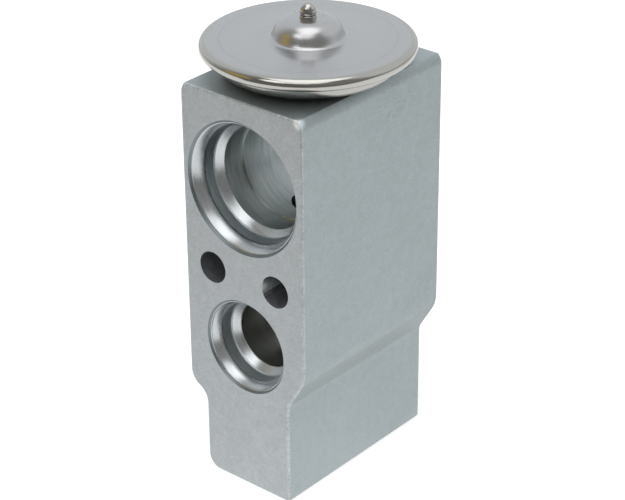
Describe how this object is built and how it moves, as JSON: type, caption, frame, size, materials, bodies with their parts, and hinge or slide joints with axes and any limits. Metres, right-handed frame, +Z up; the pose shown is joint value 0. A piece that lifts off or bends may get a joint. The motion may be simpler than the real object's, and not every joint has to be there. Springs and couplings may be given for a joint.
{
  "type": "thermostatic expansion valve",
  "caption": "Block-type refrigerant expansion valve: stepped aluminium block with large and small ports on both faces, bolt holes, and a round stainless power head on top.",
  "frame": {"origin": "middle of the block's foot, on the face that it stands on", "axes": "+Z up the valve towards the power head, -Y out of the port face that the picture shows, +X to the right of someone who looks at that face"},
  "size_m": [0.0346, 0.0359, 0.0813],
  "materials": {
    "extruded_aluminium": "matte, blasted, with bright turned bores",
    "stainless_sheet": "semi-bright, turned",
    "bright_steel": "polished",
    "turned_steel": "turned",
    "spring_steel": "drawn wire",
    "turned_aluminium": "turned",
    "brass": "turned",
    "seal_rubber": "moulded"
  },
  "bodies": {
    "block": {"valve_block": "extruded_aluminium", "upper_cover": "stainless_sheet", "lower_cover": "stainless_sheet", "diaphragm": "stainless_sheet", "charge_collar": "turned_steel", "charge_ball": "bright_steel", "threaded_neck": "turned_steel", "head_ring": "seal_rubber", "rod_seal": "seal_rubber", "seal_washer": "turned_steel", "seal_retainer": "spring_steel", "orifice_seat": "turned_steel", "superheat_spring": "spring_steel"},
    "valve_stem": {"thrust_pad": "turned_aluminium", "push_rod": "bright_steel", "valve_ball": "bright_steel", "ball_carrier": "turned_steel", "damper_spring": "spring_steel"},
    "spring_base": {"spring_seat": "brass", "screw_ring": "seal_rubber"},
    "adjuster": {"adjusting_screw": "brass"}
  },
  "joints": [
    {"name": "valve_stroke", "type": "slide", "parent": "block", "child": "valve_stem", "axis": [0, 0, -1], "range_m": [0, 0.0008], "stiffness_N_per_m": 600, "springref_m": -0.0008, "deforming": ["superheat_spring", "diaphragm"]},
    {"name": "adjuster_travel", "type": "slide", "parent": "block", "child": "spring_base", "axis": [0, 0, 1], "range_m": [-0.00075, 0.00075], "deforming": ["superheat_spring"]},
    {"name": "adjuster_turn", "type": "hinge", "parent": "spring_base", "child": "adjuster", "pos_m": [0, -0.0011, 0.003], "axis": [0, 0, 1], "range_deg": [-360, 360]}
  ],
  "couplings": [
    {"joint": "adjuster_travel", "follows": "adjuster_turn", "m_per_rad": 0.00011937}
  ]
}
